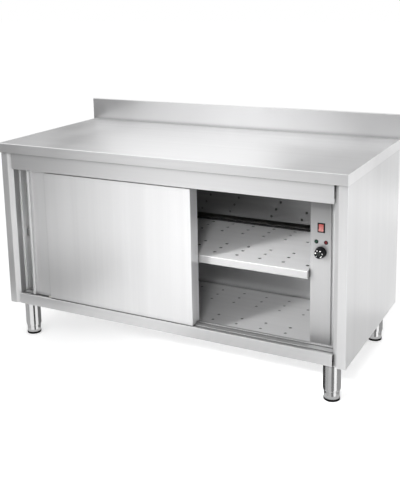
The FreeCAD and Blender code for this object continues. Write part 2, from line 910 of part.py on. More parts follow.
def make_connection():
    """Terminal block on the divider and the cable gland in the pan."""
    divider_y = front + divider_depth
    x = room_right + heater_from_wall
    z0 = inner_floor + panel_flange
    body = block(x - terminal_length / 2, x + terminal_length / 2, divider_y - terminal_height - seat_gap,
                 divider_y - seat_gap, z0, z0 + terminal_width)
    tools = []
    step = terminal_length / terminal_ways
    for way in range(terminal_ways):
        way_x = x - terminal_length / 2 + step * (way + 1 / 2)
        mouth = point(way_x, divider_y - terminal_height - overrun, z0 + terminal_width / 2)
        tools.append(rod(terminal_way_radius, mouth, mouth + point(0, terminal_way_depth + overrun, 0)))
    save("terminal_block", body.cut(Part.makeCompound(tools)))
    flange_low = floor_clearance + sheet - gland_nut
    outline = [
        (gland_bore_radius, flange_low - gland_drop + gland_nut),
        (gland_radius - gland_taper, flange_low - gland_drop + gland_nut),
        (gland_radius, flange_low),
        (gland_radius + gland_flange, flange_low),
        (gland_radius + gland_flange, floor_clearance + sheet),
        (gland_radius, floor_clearance + sheet),
        (gland_radius, pan_top + gland_nut),
        (gland_bore_radius, pan_top + gland_nut),
    ]
    save("cable_gland", turned(outline, gland_x, gland_y))


def door_path(left, depth_front, grip_side):
    """Outer face of a door's folded skin, seen from above, with the finger recess along one upright edge."""
    right = left + door_width
    skin_back = depth_front + door_thickness - sheet
    recess = depth_front + grip_depth
    path = [
        (left, skin_back),
        (left, depth_front),
        (left + grip_lip, depth_front),
        (left + grip_lip, recess),
        (left + grip_width, recess),
        (left + grip_width, depth_front),
        (right, depth_front),
        (right, skin_back),
    ]
    if grip_side > 0:
        path = [(left + right - x, y) for x, y in path]
    return path


def make_door(name, left, depth_front, grip_side):
    """Double-skinned sliding door with a full-height finger recess, hung on two rollers."""
    path = door_path(left, depth_front, grip_side)
    skin = bent_sheet(path, "xy", door_bottom, door_top, side=-grip_side)
    pieces = [skin]
    outline = [point(x, y, 0) for x, y in path]
    middle_y = depth_front + door_thickness
    for z in (door_bottom, door_top - sheet):
        cap = Part.Face(Part.makePolygon(outline + outline[:1])).extrude(point(0, 0, sheet))
        cap.translate(point(0, 0, z))
        trim = inset_tool(path, depth_front, z)
        pieces.append(cap.common(trim))
    save(name + "_skin", joined(pieces))
    right = left + door_width
    save(name + "_back", block(left, right, middle_y - sheet, middle_y, door_bottom, door_top))
    margin = sheet + bend
    core_left = left + margin
    core_right = right - margin
    if grip_side < 0:
        core_left = left + grip_width + margin
    else:
        core_right = right - grip_width - margin
    save(name + "_core", block(core_left, core_right, depth_front + sheet + seat_gap,
                               middle_y - sheet - seat_gap,
                               door_bottom + sheet + seat_gap, door_top - sheet - seat_gap))
    hangers = []
    for number, share in enumerate((roller_inset_share, 1 - roller_inset_share)):
        x = left + share * door_width
        hangers.append(make_hanger(x, depth_front))
        make_roller(name + "_roller_" + "ab"[number], x, depth_front)
    save(name + "_hangers", group(hangers))
    guides = []
    for share in (guide_inset_share, 1 - guide_inset_share):
        x = left + share * door_width
        y = depth_front + door_thickness / 2
        guide = block(x - guide_length / 2, x + guide_length / 2, y - guide_width / 2, y + guide_width / 2,
                      door_bottom - guide_drop, door_bottom)
        ends = [edge for edge in guide.Edges if abs(edge.Length - guide_drop) < seat_gap]
        guides.append(guide.makeFillet(guide_corner, ends))
    save(name + "_guides", group(guides))


def inset_tool(path, depth_front, z):
    """Space that a door's end plate may fill, clear of the bends of its skin."""
    xs = [x for x, y in path]
    return block(min(xs) + sheet + bend, max(xs) - sheet - bend, depth_front + sheet / 2,
                 depth_front + door_thickness - sheet, z, z + sheet)


def make_hanger(x, depth_front):
    """Angle on the door's top edge with the axle that carries a roller."""
    plate_y = lip_rear(depth_front) + lip_gap
    half = hanger_width / 2
    top = axle_height + hanger_below_axle
    plate = block(x - half, x + half, plate_y, plate_y + hanger_thickness, door_top, top)
    foot = block(x - half, x + half, plate_y, plate_y + hanger_foot + hanger_thickness, door_top,
                 door_top + hanger_thickness)
    shaft_front = roller_front(depth_front) - seat_gap
    axle = rod(axle_radius, point(x, shaft_front, axle_height), point(x, plate_y, axle_height))
    head = rod(axle_head_radius, point(x, shaft_front - axle_head, axle_height),
               point(x, shaft_front, axle_height))
    return joined([plate, foot, axle, head])


def make_roller(name, x, depth_front):
    """Grooved nylon roller."""
    start = roller_front(depth_front)
    wheel = ring(roller_radius, axle_radius + running_fit, point(x, start, axle_height),
                 point(x, start + roller_width, axle_height))
    groove_start = start + (roller_width - roller_groove_width) / 2
    groove = ring(roller_radius + overrun, roller_radius - roller_groove, point(x, groove_start, axle_height),
                  point(x, groove_start + roller_groove_width, axle_height))
    save(name, wheel.cut(groove))


def make_legs():
    """Legs with a screwed foot in each, and the plates with welded nuts that hold them under the body."""
    plates = []
    legs = []
    cap_low = floor_clearance - leg_cap
    inner = leg_radius - leg_wall
    disc_low = leg_bottom + foot_engagement
    disc_high = disc_low + leg_nut_height
    foot_top = leg_bottom + foot_engagement / 2
    stud_top = pan_top + leg_plate_thickness + leg_nut_height + leg_stud_proud
    for number, (x, y) in enumerate(leg_places()):
        name = ("front_left", "rear_left", "front_right", "rear_right")[number]
        outline = [
            (foot_radius + running_fit, leg_bottom),
            (leg_radius - leg_taper, leg_bottom),
            (leg_radius, leg_bottom + leg_taper_height),
            (leg_radius, floor_clearance),
            (leg_pad_radius, floor_clearance),
            (leg_pad_radius, floor_clearance + sheet),
            (leg_bolt_radius, floor_clearance + sheet),
            (leg_bolt_radius, stud_top),
            (0, stud_top),
            (0, cap_low),
            (inner, cap_low),
            (inner, disc_high),
            (spindle_radius + running_fit, disc_high),
            (spindle_radius + running_fit, disc_low),
            (inner, disc_low),
            (inner, leg_bottom + leg_collar_height),
            (foot_radius + running_fit, leg_bottom + leg_collar_height),
        ]
        legs.append(turned(outline, x, y))
        outline = [
            (0, glide_height),
            (foot_radius, glide_height),
            (foot_radius, foot_top),
            (foot_radius - foot_wall, foot_top),
            (foot_radius - foot_wall, glide_height + foot_wall),
            (spindle_radius, glide_height + foot_wall),
            (spindle_radius, disc_high + leg_nut_height),
            (0, disc_high + leg_nut_height),
        ]
        save(name + "_foot", turned(outline, x, y))
        outline = [
            (0, 0),
            (glide_radius - glide_edge, 0),
            (glide_radius, glide_edge),
            (glide_radius, glide_height),
            (0, glide_height),
        ]
        save(name + "_glide", turned(outline, x, y))
        half = leg_plate / 2
        plate = block(x - half, x + half, y - half, y + half, pan_top, pan_top + leg_plate_thickness)
        hole = rod(leg_bolt_radius + seat_gap, point(x, y, floor_clearance), point(x, y, stud_top))
        nut = hex_nut(x, y, pan_top + leg_plate_thickness)
        plates.append(plate.fuse(nut).cut(hole).removeSplitter())
    save("legs", group(legs))
    save("leg_plates", group(plates))


def hex_nut(x, y, low):
    """Six-sided nut, welded on its plate."""
    corners = []
    for step in range(leg_nut_sides):
        angle = 2 * math.pi * step / leg_nut_sides
        corners.append(point(x + leg_nut_radius * math.cos(angle), y + leg_nut_radius * math.sin(angle), low))
    return Part.Face(Part.makePolygon(corners + corners[:1])).extrude(point(0, 0, leg_nut_height))


def rivet_spots():
    """Places of the rivets that hold the rear panel to the flanges of the side panels."""
    spots = []
    low = floor_clearance + rivet_margin
    high = top_underside - rivet_margin
    for hand in (-1, 1):
        for row in range(rivet_rows):
            z = low + (high - low) * row / (rivet_rows - 1)
            spots.append(point(hand * (side_out - panel_flange / 2), body_back, z))
    return spots


def rivet_holes():
    """Cutters for the rivets."""
    tools = []
    for spot in rivet_spots():
        tools.append(rod(rivet_radius + running_fit, spot - point(0, rivet_length + overrun, 0),
                         spot + point(0, overrun, 0)))
    return tools


def make_rivets():
    """Domed rivets through the rear panel and the side panels."""
    rivets = []
    out = point(0, 1, 0)
    for spot in rivet_spots():
        head = Part.makeCone(rivet_head_radius, rivet_radius, rivet_head, spot, out)
        rivets.append(head.fuse(rod(rivet_radius, spot, spot - out * rivet_length)).removeSplitter())
    save("rear_panel_rivets", group(rivets))


make_worktop()
make_side_panels()
make_base()
make_door_rails()
make_room()
make_shelf()
make_column()
make_controls()
make_hot_air_unit()
make_connection()
make_door("left_door", left_door_x, left_door_front, -1)
make_door("right_door", right_door_x, right_door_front, 1)
make_legs()
make_rivets()
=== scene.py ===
# Plate warmer cabinet in brushed stainless steel: worktop with upstand, two sliding doors, a heated
# room with a perforated shelf, a control column and four levelling legs. Metres; front faces -Y.
import math

import bpy
from mathutils import Matrix, Vector


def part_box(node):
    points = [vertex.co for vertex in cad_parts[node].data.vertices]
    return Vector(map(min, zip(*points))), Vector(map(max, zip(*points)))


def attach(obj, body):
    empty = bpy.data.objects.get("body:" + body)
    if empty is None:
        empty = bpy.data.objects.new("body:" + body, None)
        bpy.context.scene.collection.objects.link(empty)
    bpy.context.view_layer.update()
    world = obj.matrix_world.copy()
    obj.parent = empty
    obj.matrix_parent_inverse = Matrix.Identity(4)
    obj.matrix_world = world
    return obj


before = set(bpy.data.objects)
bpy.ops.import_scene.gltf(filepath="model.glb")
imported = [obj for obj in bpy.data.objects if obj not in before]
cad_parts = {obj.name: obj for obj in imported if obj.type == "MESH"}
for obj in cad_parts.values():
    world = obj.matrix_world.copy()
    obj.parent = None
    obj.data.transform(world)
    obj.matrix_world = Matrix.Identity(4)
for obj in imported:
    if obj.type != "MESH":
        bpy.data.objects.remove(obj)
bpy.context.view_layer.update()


# The studio is a pale floor, a white surround, soft lamps over the outside and gridded ones that reach
# into the room. Cards, which only polished surfaces show, give the bare steel its dark and bright fields.
camera_spot = (1.5211, -2.8409, 1.4568)
camera_data = bpy.data.cameras.new("camera")
camera_data.lens = 57.557
camera_data.sensor_width = 36
camera_data.shift_y = -0.2
camera = bpy.data.objects.new("camera", camera_data)
bpy.context.scene.collection.objects.link(camera)
camera_heading = Matrix.Rotation(math.radians(27.965), 4, "Z")
camera_pitch = Matrix.Rotation(math.radians(78.675), 4, "X")
camera_roll = Matrix.Rotation(math.radians(-1.157), 4, "Z")
camera.matrix_world = Matrix.Translation(camera_spot) @ camera_heading @ camera_pitch @ camera_roll
bpy.context.scene.camera = camera
bpy.context.scene.view_settings.view_transform = "Standard"


def fresh_material(name):
    """New material with its nodes, its links and its Principled shader."""
    material = bpy.data.materials.new(name)
    material.use_nodes = True
    nodes = material.node_tree.nodes
    return material, nodes, material.node_tree.links, nodes["Principled BSDF"]


def seen_directly(nodes, links):
    """One for camera, glossy and transmission rays, and zero for rays that a surface scatters."""
    rays = nodes.new("ShaderNodeLightPath")
    total = rays.outputs["Is Camera Ray"]
    for kind in ("Is Glossy Ray", "Is Transmission Ray"):
        adding = nodes.new("ShaderNodeMath")
        adding.operation = "ADD"
        adding.use_clamp = True
        links.new(total, adding.inputs[0])
        links.new(rays.outputs[kind], adding.inputs[1])
        total = adding.outputs[0]
    return total


def scaled(nodes, links, value, factor):
    """A value times a plain number."""
    node = nodes.new("ShaderNodeMath")
    node.operation = "MULTIPLY"
    node.inputs[1].default_value = factor
    links.new(value, node.inputs[0])
    return node.outputs[0]


bpy.ops.object.select_all(action="DESELECT")
bpy.ops.mesh.primitive_plane_add(size=60, location=(0, 0, 0))
floor = bpy.context.object
floor.name = "studio_floor"
floor_paint, nodes, links, shader = fresh_material("studio_floor_paint")
shader.inputs["Base Color"].default_value = (0.92, 0.92, 0.92, 1)
shader.inputs["Roughness"].default_value = 0.9
shader.inputs["Specular IOR Level"].default_value = 0.0
shader.inputs["Emission Color"].default_value = (1, 1, 1, 1)
floor_glow = 0.35
links.new(scaled(nodes, links, seen_directly(nodes, links), floor_glow), shader.inputs["Emission Strength"])
floor.data.materials.append(floor_paint)

world = bpy.data.worlds.new("studio_world")
bpy.context.scene.world = world
world.use_nodes = True
nodes = world.node_tree.nodes
links = world.node_tree.links
nodes.clear()
soft_light = nodes.new("ShaderNodeBackground")
soft_light.inputs["Color"].default_value = (1, 1, 1, 1)
soft_light.inputs["Strength"].default_value = 0.72
backdrop = nodes.new("ShaderNodeBackground")
backdrop.inputs["Color"].default_value = (1, 1, 1, 1)
backdrop.inputs["Strength"].default_value = 1.0
surround = nodes.new("ShaderNodeMixShader")
links.new(seen_directly(nodes, links), surround.inputs[0])
links.new(soft_light.outputs[0], surround.inputs[1])
links.new(backdrop.outputs[0], surround.inputs[2])
world_out = nodes.new("ShaderNodeOutputWorld")
links.new(surround.outputs[0], world_out.inputs[0])


def soft_lamp(name, place, aim, width, height, watts, spread=180):
    """Rectangular studio lamp that looks at a point; its grid lets the degrees of spread through."""
    light = bpy.data.lights.new(name, "AREA")
    light.spread = math.radians(spread)
    light.shape = "RECTANGLE"
    light.size = width
    light.size_y = height
    light.energy = watts
    lamp = bpy.data.objects.new(name, light)
    bpy.context.scene.collection.objects.link(lamp)
    direction = Vector(aim) - Vector(place)
    lamp.location = place
    lamp.rotation_euler = direction.to_track_quat("-Z", "Y").to_euler()


def grey_card(name, place, facing, width, height, level, turn=0):
    """Card that only shows in polished surfaces. Facing is the way it looks, turn the degrees about that
    line, and level its brightness."""
    bpy.ops.object.select_all(action="DESELECT")
    bpy.ops.mesh.primitive_plane_add(size=1)
    card = bpy.context.object
    card.name = name
    heading = Vector(facing).to_track_quat("Z", "Y").to_matrix().to_4x4()
    spin = Matrix.Rotation(math.radians(turn), 4, "Z")
    spread_out = Matrix.Diagonal((width, height, 1, 1))
    card.matrix_world = Matrix.Translation(place) @ heading @ spin @ spread_out
    card_paint, nodes, links, shader = fresh_material(name + "_paint")
    shader.inputs["Base Color"].default_value = (0, 0, 0, 1)
    shader.inputs["Specular IOR Level"].default_value = 0.0
    shader.inputs["Emission Color"].default_value = (level, level, level, 1)
    shader.inputs["Emission Strength"].default_value = 1.0
    card.data.materials.append(card_paint)
    card.visible_camera = False
    card.visible_diffuse = False
    card.visible_shadow = False
    card.visible_transmission = False


soft_lamp("key_lamp", (-0.6, -3.4, 3.6), aim=(0, 0, 0.5), width=2.4, height=1.6, watts=30)
soft_lamp("right_lamp", (4.2, -0.4, 2.6), aim=(0.6, 0, 0.5), width=1.6, height=1.6, watts=14)
soft_lamp("room_lamp", (-1.24, -2.87, 2.0), aim=(0.38, -0.05, 0.42), width=0.5, height=0.35, watts=3.2,
          spread=26)
soft_lamp("fill_lamp", (1.2, -3.0, 2.0), aim=(0.35, -0.05, 0.42), width=0.5, height=0.35, watts=1.9,
          spread=26)
soft_lamp("left_edge_lamp", (1.0, -2.3, 1.1), aim=(-0.7, -0.29, 0.46), width=0.3, height=0.5, watts=0.3,
          spread=15)
for name in ("key_lamp", "room_lamp", "fill_lamp", "left_edge_lamp"):
    bpy.data.objects[name].visible_glossy = False

upward = (0, 0, 1)
grey_card("front_floor_card", (-0.2, -2.3, 0.003), upward, width=5.6, height=3.9, level=0.72)
grey_card("front_far_card", (0, -4.6, 0.004), upward, width=8, height=2.8, level=0.4)
grey_card("front_foot_card", (0.26, -0.62, 0.005), upward, width=0.62, height=0.5, level=0.36)
grey_card("front_left_card", (-3.74, -2.39, 0.006), upward, width=6.1, height=3.2, level=0.01,
          turn=68)
grey_card("left_foot_card", (-1.7, -1.0, 0.008), upward, width=2.0, height=0.66, level=0.0)

# The three legs in view each stand on a card and in a ring of upright strips, which the polished tubes
# mirror as their streaks. A strip has the degrees it is turned from the camera, the degrees it spans at
# the leg, and its brightness.
ring_radius = 0.05
strip_middle = 0.073
strip_height = 0.145
leg_card_size = 0.5
leg_card_rise = 0.009
leg_card_level = 0.62
right_strips = ((-110, 88, 0.03), (-49, 33, 0.5), (7, 23, 0.2), (31, 26, 1.3), (99, 110, 0.4))
left_strips = ((-98, 110, 0.5), (-21, 42, 1.1), (9, 18, 0.06), (33, 30, 1.1), (101, 106, 0.17))
strips_of_leg = {"front_left": left_strips, "front_right": right_strips, "rear_right": right_strips}
for corner, strips in strips_of_leg.items():
    glide_low, glide_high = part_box(corner + "_glide")
    leg_x = (glide_low.x + glide_high.x) / 2
    leg_y = (glide_low.y + glide_high.y) / 2
    grey_card(corner + "_leg_card", (leg_x, leg_y, leg_card_rise), upward, width=leg_card_size,
              height=leg_card_size, level=leg_card_level)
    to_camera = math.atan2(camera_spot[1] - leg_y, camera_spot[0] - leg_x)
    for number, (turned, span, level) in enumerate(strips):
        heading = to_camera + math.radians(turned)
        outward = Vector((math.cos(heading), math.sin(heading), 0))
        middle = Vector((leg_x, leg_y, strip_middle)) + outward * ring_radius
        width = 2 * ring_radius * math.tan(math.radians(span / 2))
        strip_name = corner + "_leg_strip_" + str(number)
        grey_card(strip_name, middle, -outward, width, strip_height, level)

grey_card("side_floor_card", (1.45, 0.75, 0.003), upward, width=1.3, height=2.6, level=0.86)
grey_card("side_far_card", (1.85, 3.9, 0.004), upward, width=1.5, height=2.0, level=0.5)
grey_card("side_foot_card", (0.95, 0.1, 0.006), upward, width=0.36, height=0.8, level=0.45)
grey_card("rear_left_card", (-3.7, 2.8, 1.5), (0.75, -0.66, 0), width=2.2, height=2.4, level=0.2)
grey_card("rear_right_card", (-0.45, 3.4, 1.6), (0, -1, 0), width=1.2, height=2.0, level=0.16)
grey_card("front_wall_left_card", (-3.47, -2.88, 1.15), (0.57, 0.8, 0), width=1.9, height=2.4, level=0.02)
grey_card("front_wall_bright_card", (-1.85, -3.9, 1.75), (0, 1, 0), width=1.3, height=1.7, level=1.7)
grey_card("front_wall_right_card", (-0.1, -3.9, 1.8), (0, 1, 0), width=2.0, height=3.4, level=0.02)


# Brushed stainless steel sheet is what nearly all of the cabinet is folded from. The brushing runs
# one way over each sheet, hands and cloths leave soft clouds, and the folds are painted brighter, as
# wear from rubbing and as the highlight that the rounded bends catch. Creases carry painted shade.
def group_with(name, sockets_in, sockets_out):
    """Empty shader node group with named inputs and outputs."""
    group = bpy.data.node_groups.new(name, "ShaderNodeTree")
    for label, kind, value in sockets_in:
        socket = group.interface.new_socket(name=label, in_out="INPUT", socket_type=kind)
        socket.default_value = value
    for label, kind in sockets_out:
        group.interface.new_socket(name=label, in_out="OUTPUT", socket_type=kind)
    start = group.nodes.new("NodeGroupInput")
    end = group.nodes.new("NodeGroupOutput")
    return group, group.nodes, group.links, start, end


brushing, nodes, links, start, end = group_with(
    "brushing",
    [("Fine stretch", "NodeSocketVector", (10, 10, 900)),
     ("Broad stretch", "NodeSocketVector", (1, 1, 40))],
    [("Fine", "NodeSocketFloat"), ("Broad", "NodeSocketFloat")])
place = nodes.new("ShaderNodeTexCoord")
for label in ("Fine", "Broad"):
    stretch = nodes.new("ShaderNodeMapping")
    links.new(place.outputs["Object"], stretch.inputs["Vector"])
    links.new(start.outputs[label + " stretch"], stretch.inputs["Scale"])
    lines = nodes.new("ShaderNodeTexNoise")
    lines.inputs["Scale"].default_value = 1
    lines.inputs["Detail"].default_value = 3
    lines.inputs["Roughness"].default_value = 0.6
    links.new(stretch.outputs["Vector"], lines.inputs["Vector"])
    links.new(lines.outputs["Fac"], end.inputs[label])

specks_to_a_cloud = 60
clouding, nodes, links, start, end = group_with(
    "handling_clouds", [("Size", "NodeSocketFloat", 3.0)],
    [("Clouds", "NodeSocketFloat"), ("Specks", "NodeSocketFloat")])
place = nodes.new("ShaderNodeTexCoord")
for label, detail in (("Clouds", 4), ("Specks", 2)):
    cloud = nodes.new("ShaderNodeTexNoise")
    cloud.inputs["Detail"].default_value = detail
    cloud.inputs["Roughness"].default_value = 0.55
    cloud.inputs["Distortion"].default_value = 0.3
    links.new(place.outputs["Object"], cloud.inputs["Vector"])
    size = start.outputs["Size"]
    if label == "Specks":
        size = scaled(nodes, links, size, specks_to_a_cloud)
    links.new(size, cloud.inputs["Scale"])
    links.new(cloud.outputs["Fac"], end.inputs[label])

# Edge mask for painted brightness: the materials lighten rounded edges, as wear and as the highlight that
# the bends catch.
edge_rubbing, nodes, links, start, end = group_with(
    "edge_rubbing", [("Gain", "NodeSocketFloat", 3.0)], [("Edge", "NodeSocketFloat")])
rounded = nodes.new("ShaderNodeBevel")
rounded.samples = 4
rounded.inputs["Radius"].default_value = 0.0035
surface = nodes.new("ShaderNodeNewGeometry")
facing = nodes.new("ShaderNodeVectorMath")
facing.operation = "DOT_PRODUCT"
links.new(rounded.outputs["Normal"], facing.inputs[0])
links.new(surface.outputs["Normal"], facing.inputs[1])
turned_away = nodes.new("ShaderNodeMath")
turned_away.operation = "SUBTRACT"
turned_away.inputs[0].default_value = 1
links.new(facing.outputs["Value"], turned_away.inputs[1])
raised = nodes.new("ShaderNodeMath")
raised.operation = "MULTIPLY"
raised.use_clamp = True
links.new(turned_away.outputs[0], raised.inputs[0])
links.new(start.outputs["Gain"], raised.inputs[1])
links.new(raised.outputs[0], end.inputs["Edge"])


# Painted shade: the colour is darkened where ambient occlusion finds other surfaces close by, in creases,
# recesses and under parts.
crevices, nodes, links, start, end = group_with("crevices", [("Depth", "NodeSocketFloat", 0.02)],
                                                 [("Open", "NodeSocketFloat")])
sheltered = nodes.new("ShaderNodeAmbientOcclusion")
sheltered.samples = 8
links.new(start.outputs["Depth"], sheltered.inputs["Distance"])
links.new(sheltered.outputs["AO"], end.inputs["Open"])


def grouped(nodes, group, **values):
    """Place a node group in a material; an underscore in a value's name stands for a blank."""
    node = nodes.new("ShaderNodeGroup")
    node.node_tree = group
    for label, value in values.items():
        node.inputs[label.replace("_", " ")].default_value = value
    return node


def ranged(nodes, links, value, low, high, from_low=0.0, from_high=1.0):
    """Bring a value from the range from_low to from_high into the range low to high."""
    node = nodes.new("ShaderNodeMapRange")
    node.inputs["From Min"].default_value = from_low
    node.inputs["From Max"].default_value = from_high
    node.inputs["To Min"].default_value = low
    node.inputs["To Max"].default_value = high
    links.new(value, node.inputs["Value"])
    return node.outputs["Result"]


def mixed_colour(nodes, links, share, first, second):
    """Blend two colours, or a socket and a colour, by a share."""
    node = nodes.new("ShaderNodeMix")
    node.data_type = "RGBA"
    links.new(share, node.inputs["Factor"])
    for socket, colour in ((node.inputs["A"], first), (node.inputs["B"], second)):
        if isinstance(colour, tuple):
            socket.default_value = (*colour, 1)
        else:
            links.new(colour, socket)
    return node.outputs["Result"]


def along(nodes, links, axis):
    """Place of the surface along one axis of its object."""
    place = nodes.new("ShaderNodeTexCoord")
    split = nodes.new("ShaderNodeSeparateXYZ")
    links.new(place.outputs["Object"], split.inputs["Vector"])
    return split.outputs[axis]


def bumped(nodes, links, height, shader, strength, distance):
    """Raise the surface by a height map; distance is in metres."""
    bump = nodes.new("ShaderNodeBump")
    bump.inputs["Strength"].default_value = strength
    bump.inputs["Distance"].default_value = distance
    links.new(height, bump.inputs["Height"])
    links.new(bump.outputs["Normal"], shader.inputs["Normal"])


def grey(level):
    """Neutral steel colour with a trace of blue."""
    return (level, level, level * 1.006)


def brushed_steel(name, light, dark, grain, roughness, metallic=0.82, rubbed_and_highlit=0.95, painted_shade_band=None,
                  edge_shade_from=None):
    """Stainless sheet brushed along the axis grain; its edges are painted paler, as wear and as the
    highlight of the bends. A painted shade is given as the height where it begins, the height where it is
    full and its grey; behind a given Y the edges of the sheet are painted dark as shade."""
    material, nodes, links, shader = fresh_material(name)
    lines_along, lines_across = 9, 700
    bands_along, bands_across = 0.5, 26
    fine = tuple(lines_along if axis == grain else lines_across for axis in "xyz")
    broad = tuple(bands_along if axis == grain else bands_across for axis in "xyz")
    lines = grouped(nodes, brushing, Fine_stretch=fine, Broad_stretch=broad)
    clouds = grouped(nodes, clouding, Size=2.5)
    edges = grouped(nodes, edge_rubbing)
    broad_share = ranged(nodes, links, lines.outputs["Broad"], 0, 1, 0.3, 0.7)
    colour = mixed_colour(nodes, links, broad_share, grey(dark), grey(light))
    cloud_share = ranged(nodes, links, clouds.outputs["Clouds"], 0, 0.5, 0.35, 0.65)
    colour = mixed_colour(nodes, links, cloud_share, colour, grey(dark))
    fine_share = ranged(nodes, links, lines.outputs["Fine"], 0, 0.2, 0.4, 0.7)
    colour = mixed_colour(nodes, links, fine_share, colour, grey(dark * 0.93))
    # Painted shade: past a given height the colour blends into a flat grey.
    if painted_shade_band:
        begins, full, shade = painted_shade_band
        height_share = ranged(nodes, links, along(nodes, links, "Z"), 0, 1, begins, full)
        colour = mixed_colour(nodes, links, height_share, colour, grey(shade))
    # Painted highlight and wear: the edges of the sheet are lightened towards a pale grey.
    edge_share = ranged(nodes, links, edges.outputs["Edge"], 0, 0.7)
    colour = mixed_colour(nodes, links, edge_share, colour, grey(rubbed_and_highlit))
    # Painted shade: behind a given Y the edges of the sheet, such as the rims of the shelf's holes, are
    # darkened to near black.
    if edge_shade_from:
        edge_shade_fade = 0.008
        behind = ranged(nodes, links, along(nodes, links, "Y"), 0, 1, edge_shade_from, edge_shade_from + edge_shade_fade)
        edge_shade = nodes.new("ShaderNodeMath")
        edge_shade.operation = "MULTIPLY"
        links.new(behind, edge_shade.inputs[0])
        links.new(ranged(nodes, links, edges.outputs["Edge"], 0, 1, 0.01, 0.2), edge_shade.inputs[1])
        colour = mixed_colour(nodes, links, edge_shade.outputs[0], colour, grey(0.03))
    # Painted shade: creases, recesses and the sheet under other parts are darkened towards a dark grey.
    crevice_shading = grouped(nodes, crevices)
    crevice_shade_share = ranged(nodes, links, crevice_shading.outputs["Open"], 0.8, 0, 0.3, 0.94)
    colour = mixed_colour(nodes, links, crevice_shade_share, colour, grey(dark * 0.3))
    links.new(colour, shader.inputs["Base Color"])
    shader.inputs["Metallic"].default_value = metallic
    blur = ranged(nodes, links, clouds.outputs["Clouds"], roughness - 0.04, roughness + 0.06, 0.3, 0.7)
    links.new(blur, shader.inputs["Roughness"])
    bumped(nodes, links, lines.outputs["Fine"], shader, strength=0.04, distance=0.0003)
    return material


def dress(material, *names):
    """Give CAD nodes a finish through their own material slots."""
    for name in names:
        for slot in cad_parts[name].material_slots:
            slot.material = material


# The worktop is one folded sheet on a board, with the upstand at the back; it is brushed lengthways.
# The board under it is a raw chipboard panel.
# From 851 mm up, on the upstand, the colour blends into one even grey.
worktop_steel = brushed_steel("worktop_steel", light=0.93, dark=0.87, grain="x", roughness=0.33,
                              metallic=0.88, painted_shade_band=(0.851, 0.87, 0.88))
dress(worktop_steel, "worktop")


def chipboard(name, light, dark):
    """Pressed chips in glue: blunt flakes in two browns."""
    material, nodes, links, shader = fresh_material(name)
    place = nodes.new("ShaderNodeTexCoord")
    chips = nodes.new("ShaderNodeTexVoronoi")
    chips.inputs["Scale"].default_value = 260
    chips.inputs["Randomness"].default_value = 1.0
    links.new(place.outputs["Object"], chips.inputs["Vector"])
    clouds = grouped(nodes, clouding, Size=9.0)
    flake_share = ranged(nodes, links, chips.outputs["Distance"], 0, 1, 0.0, 0.9)
    colour = mixed_colour(nodes, links, flake_share, light, dark)
    cloud_share = ranged(nodes, links, clouds.outputs["Clouds"], 0, 0.45, 0.35, 0.7)
    links.new(mixed_colour(nodes, links, cloud_share, colour, dark), shader.inputs["Base Color"])
    rough = ranged(nodes, links, clouds.outputs["Specks"], 0.7, 0.9)
    links.new(rough, shader.inputs["Roughness"])
    bumped(nodes, links, chips.outputs["Distance"], shader, strength=0.5, distance=0.0006)
    return material


core_board = chipboard("core_board", (0.52, 0.39, 0.23), (0.3, 0.2, 0.11))
dress(core_board, "worktop_board")


# The body is folded from upright brushed sheet: sides with the front pillars, pan, rear panel with its
# rivets, and the front rails, which are brushed lengthways. The door tracks are a duller sheet.
body_steel = brushed_steel("body_steel", light=0.84, dark=0.78, grain="z", roughness=0.33, metallic=0.74)
dress(body_steel, "left_side_panel", "right_side_panel", "rear_panel", "rear_panel_rivets", "base_pan",
      "leg_plates")
rail_steel = brushed_steel("rail_steel", light=0.86, dark=0.8, grain="x", roughness=0.33, metallic=0.82)
dress(rail_steel, "top_rail", "bottom_rail")
track_steel = brushed_steel("track_steel", light=0.62, dark=0.56, grain="x", roughness=0.36,
                            metallic=0.7, rubbed_and_highlit=0.62)
dress(track_steel, "top_track", "bottom_track")


# The doors are double-skinned and brushed upright, each with a finger recess folded in its skin.
# Each hangs on two zinc-plated angles with grooved nylon rollers; the wool in them comes further on.
door_steel = brushed_steel("door_steel", light=0.92, dark=0.86, grain="z", roughness=0.33, metallic=0.74)
dress(door_steel, "left_door_skin", "right_door_skin", "left_door_back", "right_door_back")


def zinc_plate(name, light, dark, warm):
    """Zinc-plated steel with the faint yellow and blue clouds of its passivation."""
    material, nodes, links, shader = fresh_material(name)
    clouds = grouped(nodes, clouding, Size=45.0)
    edges = grouped(nodes, edge_rubbing)
    cloud_share = ranged(nodes, links, clouds.outputs["Clouds"], 0, 1, 0.3, 0.7)
    colour = mixed_colour(nodes, links, cloud_share, light, warm)
    speck_share = ranged(nodes, links, clouds.outputs["Specks"], 0, 0.5, 0.45, 0.7)
    colour = mixed_colour(nodes, links, speck_share, colour, dark)
    colour = mixed_colour(nodes, links, edges.outputs["Edge"], colour, (0.85, 0.85, 0.85))
    links.new(colour, shader.inputs["Base Color"])
    shader.inputs["Metallic"].default_value = 0.85
    links.new(ranged(nodes, links, clouds.outputs["Specks"], 0.28, 0.5), shader.inputs["Roughness"])
    bumped(nodes, links, clouds.outputs["Specks"], shader, strength=0.15, distance=0.0002)
    return material


hanger_steel = zinc_plate("hanger_steel", (0.66, 0.68, 0.7), (0.42, 0.43, 0.45), (0.68, 0.64, 0.5))
dress(hanger_steel, "left_door_hangers", "right_door_hangers")


